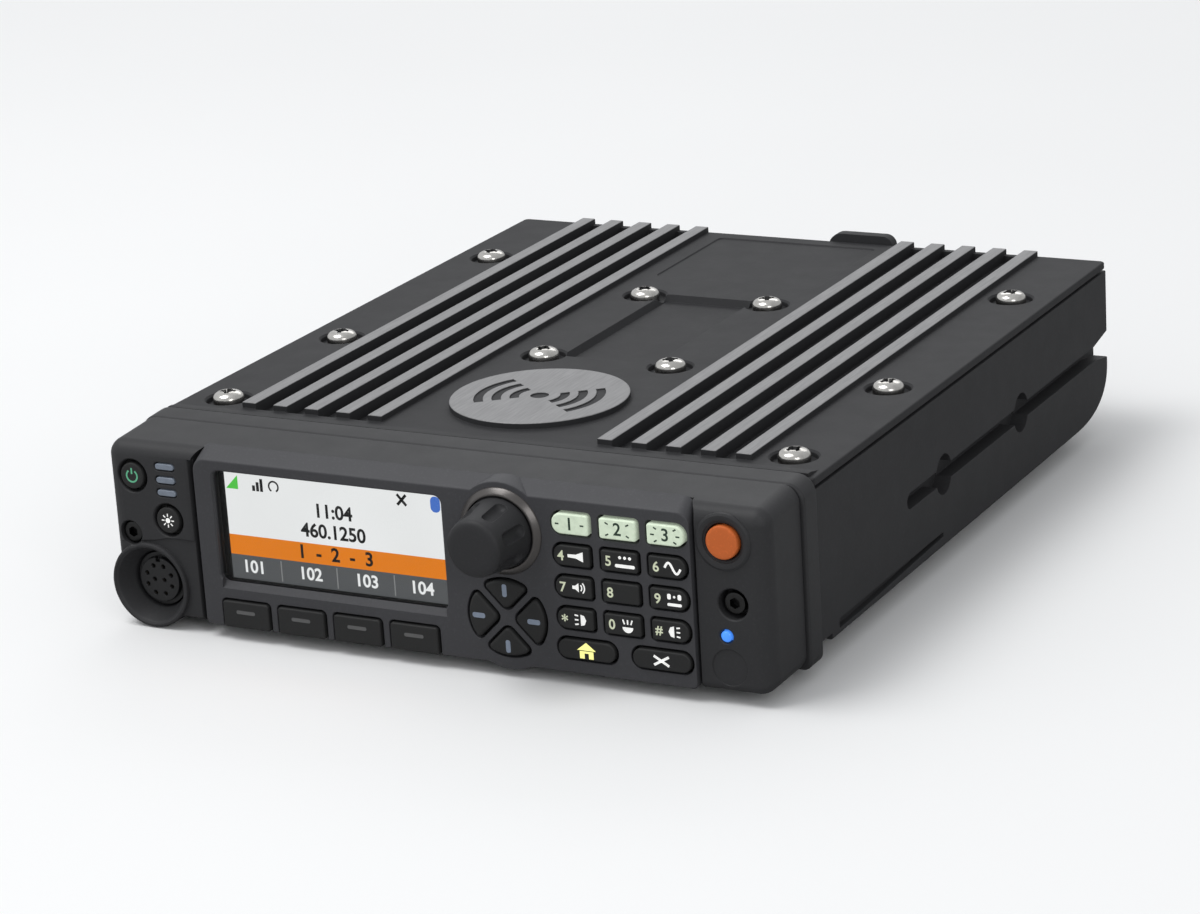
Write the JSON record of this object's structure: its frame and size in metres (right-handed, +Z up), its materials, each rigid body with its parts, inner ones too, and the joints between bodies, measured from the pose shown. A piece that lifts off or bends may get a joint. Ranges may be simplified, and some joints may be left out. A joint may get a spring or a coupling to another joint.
{
  "type": "vehicle two-way radio",
  "caption": "Vehicle-mounted two-way radio: a finned die-cast transceiver with a front control head that has a display, a keypad, a direction pad and a push-and-turn knob.",
  "frame": {"origin": "on the chassis underside, midway between its sides and 93.5 mm behind its front edge", "axes": "+X to the right as seen from the front, +Y from the front panel to the rear, +Z up out of the finned cover"},
  "size_m": [0.178, 0.2323, 0.0486],
  "materials": {
    "casting": "fine-textured matt black coating on die-cast aluminium, bare on the rib tops",
    "body_plastic": "fine spark-eroded grain, matt charcoal",
    "bezel_plastic": "fine grain, dark grey",
    "key_rubber": "soft-touch matt black",
    "lit_key": "translucent key cap, backlit pale green-white",
    "orange_button": "matt orange",
    "knob_rubber": "soft-touch black",
    "bright_screw": "bright nickel plate",
    "black_screw": "black oxide",
    "nickel": "nickel plate",
    "tinplate": "dull tin plate",
    "rotor_brass": "plain",
    "circuit_board": "green solder mask",
    "silicone": "matt dark grey",
    "connector_plastic": "moulded, slightly glossy black",
    "clear_window": "clear, hard-coated",
    "display": "lit display panel",
    "light_pipe": "translucent blue-grey",
    "blue_lens": "lit blue"
  },
  "bodies": {
    "radio": {"chassis": "casting", "top_cover": "casting", "cover_gasket": "silicone", "main_board": "circuit_board", "rf_shield": "tinplate", "power_amplifier": "tinplate", "antenna_connector": "nickel", "power_connector": "connector_plastic", "accessory_connector": "connector_plastic", "head_housing": "body_plastic", "head_back": "body_plastic", "head_bezel": "bezel_plastic", "display_lens": "clear_window", "display_module": "display", "head_board": "circuit_board", "keypad_mat": "silicone", "microphone_connector": "connector_plastic", "status_light_pipe": "light_pipe", "indicator_lens": "blue_lens", "head_screw_left": "black_screw", "head_screw_right": "black_screw", "encoder_body": "tinplate", "cover_screw_1": "bright_screw", "cover_screw_2": "bright_screw", "cover_screw_3": "bright_screw", "cover_screw_4": "bright_screw", "cover_screw_5": "bright_screw", "cover_screw_6": "bright_screw", "cover_screw_7": "bright_screw", "cover_screw_8": "bright_screw", "cover_screw_9": "bright_screw", "cover_screw_10": "bright_screw"},
    "key_0": {"key_0": "key_rubber"},
    "key_1": {"key_1": "lit_key"},
    "key_2": {"key_2": "lit_key"},
    "key_3": {"key_3": "lit_key"},
    "key_4": {"key_4": "key_rubber"},
    "key_5": {"key_5": "key_rubber"},
    "key_6": {"key_6": "key_rubber"},
    "key_7": {"key_7": "key_rubber"},
    "key_8": {"key_8": "key_rubber"},
    "key_9": {"key_9": "key_rubber"},
    "key_star": {"key_star": "key_rubber"},
    "key_hash": {"key_hash": "key_rubber"},
    "key_home": {"key_home": "key_rubber"},
    "key_clear": {"key_clear": "key_rubber"},
    "nav_up": {"nav_up": "key_rubber"},
    "nav_down": {"nav_down": "key_rubber"},
    "nav_left": {"nav_left": "key_rubber"},
    "nav_right": {"nav_right": "key_rubber"},
    "soft_key_1": {"soft_key_1": "key_rubber"},
    "soft_key_2": {"soft_key_2": "key_rubber"},
    "soft_key_3": {"soft_key_3": "key_rubber"},
    "soft_key_4": {"soft_key_4": "key_rubber"},
    "emergency_button": {"emergency_button": "orange_button"},
    "dimmer_button": {"dimmer_button": "key_rubber"},
    "power_button": {"power_button": "key_rubber"},
    "knob_rotor": {"encoder_rotor": "rotor_brass"},
    "knob": {"knob_shaft": "nickel", "control_knob": "knob_rubber"}
  },
  "joints": [
    {"name": "key_0_press", "type": "slide", "parent": "radio", "child": "key_0", "axis": [0, 1, 0], "range_m": [0, 0.0008]},
    {"name": "key_1_press", "type": "slide", "parent": "radio", "child": "key_1", "axis": [0, 1, 0], "range_m": [0, 0.0008]},
    {"name": "key_2_press", "type": "slide", "parent": "radio", "child": "key_2", "axis": [0, 1, 0], "range_m": [0, 0.0008]},
    {"name": "key_3_press", "type": "slide", "parent": "radio", "child": "key_3", "axis": [0, 1, 0], "range_m": [0, 0.0008]},
    {"name": "key_4_press", "type": "slide", "parent": "radio", "child": "key_4", "axis": [0, 1, 0], "range_m": [0, 0.0008]},
    {"name": "key_5_press", "type": "slide", "parent": "radio", "child": "key_5", "axis": [0, 1, 0], "range_m": [0, 0.0008]},
    {"name": "key_6_press", "type": "slide", "parent": "radio", "child": "key_6", "axis": [0, 1, 0], "range_m": [0, 0.0008]},
    {"name": "key_7_press", "type": "slide", "parent": "radio", "child": "key_7", "axis": [0, 1, 0], "range_m": [0, 0.0008]},
    {"name": "key_8_press", "type": "slide", "parent": "radio", "child": "key_8", "axis": [0, 1, 0], "range_m": [0, 0.0008]},
    {"name": "key_9_press", "type": "slide", "parent": "radio", "child": "key_9", "axis": [0, 1, 0], "range_m": [0, 0.0008]},
    {"name": "key_star_press", "type": "slide", "parent": "radio", "child": "key_star", "axis": [0, 1, 0], "range_m": [0, 0.0008]},
    {"name": "key_hash_press", "type": "slide", "parent": "radio", "child": "key_hash", "axis": [0, 1, 0], "range_m": [0, 0.0008]},
    {"name": "key_home_press", "type": "slide", "parent": "radio", "child": "key_home", "axis": [0, 1, 0], "range_m": [0, 0.0008]},
    {"name": "key_clear_press", "type": "slide", "parent": "radio", "child": "key_clear", "axis": [0, 1, 0], "range_m": [0, 0.0008]},
    {"name": "nav_up_press", "type": "slide", "parent": "radio", "child": "nav_up", "axis": [0, 1, 0], "range_m": [0, 0.0008]},
    {"name": "nav_down_press", "type": "slide", "parent": "radio", "child": "nav_down", "axis": [0, 1, 0], "range_m": [0, 0.0008]},
    {"name": "nav_left_press", "type": "slide", "parent": "radio", "child": "nav_left", "axis": [0, 1, 0], "range_m": [0, 0.0008]},
    {"name": "nav_right_press", "type": "slide", "parent": "radio", "child": "nav_right", "axis": [0, 1, 0], "range_m": [0, 0.0008]},
    {"name": "soft_key_1_press", "type": "slide", "parent": "radio", "child": "soft_key_1", "axis": [0, 1, 0], "range_m": [0, 0.0008]},
    {"name": "soft_key_2_press", "type": "slide", "parent": "radio", "child": "soft_key_2", "axis": [0, 1, 0], "range_m": [0, 0.0008]},
    {"name": "soft_key_3_press", "type": "slide", "parent": "radio", "child": "soft_key_3", "axis": [0, 1, 0], "range_m": [0, 0.0008]},
    {"name": "soft_key_4_press", "type": "slide", "parent": "radio", "child": "soft_key_4", "axis": [0, 1, 0], "range_m": [0, 0.0008]},
    {"name": "emergency_button_press", "type": "slide", "parent": "radio", "child": "emergency_button", "axis": [0, 1, 0], "range_m": [0, 0.0008]},
    {"name": "dimmer_button_press", "type": "slide", "parent": "radio", "child": "dimmer_button", "axis": [0, 1, 0], "range_m": [0, 0.0008]},
    {"name": "power_button_press", "type": "slide", "parent": "radio", "child": "power_button", "axis": [0, 1, 0], "range_m": [0, 0.0008]},
    {"name": "knob_turn", "type": "hinge", "parent": "radio", "child": "knob_rotor", "pos_m": [0.0212, -0.1128, 0.0303], "axis": [0, 1, 0], "continuous": true},
    {"name": "knob_push", "type": "slide", "parent": "knob_rotor", "child": "knob", "axis": [0, 1, 0], "range_m": [0, 0.0005]}
  ]
}
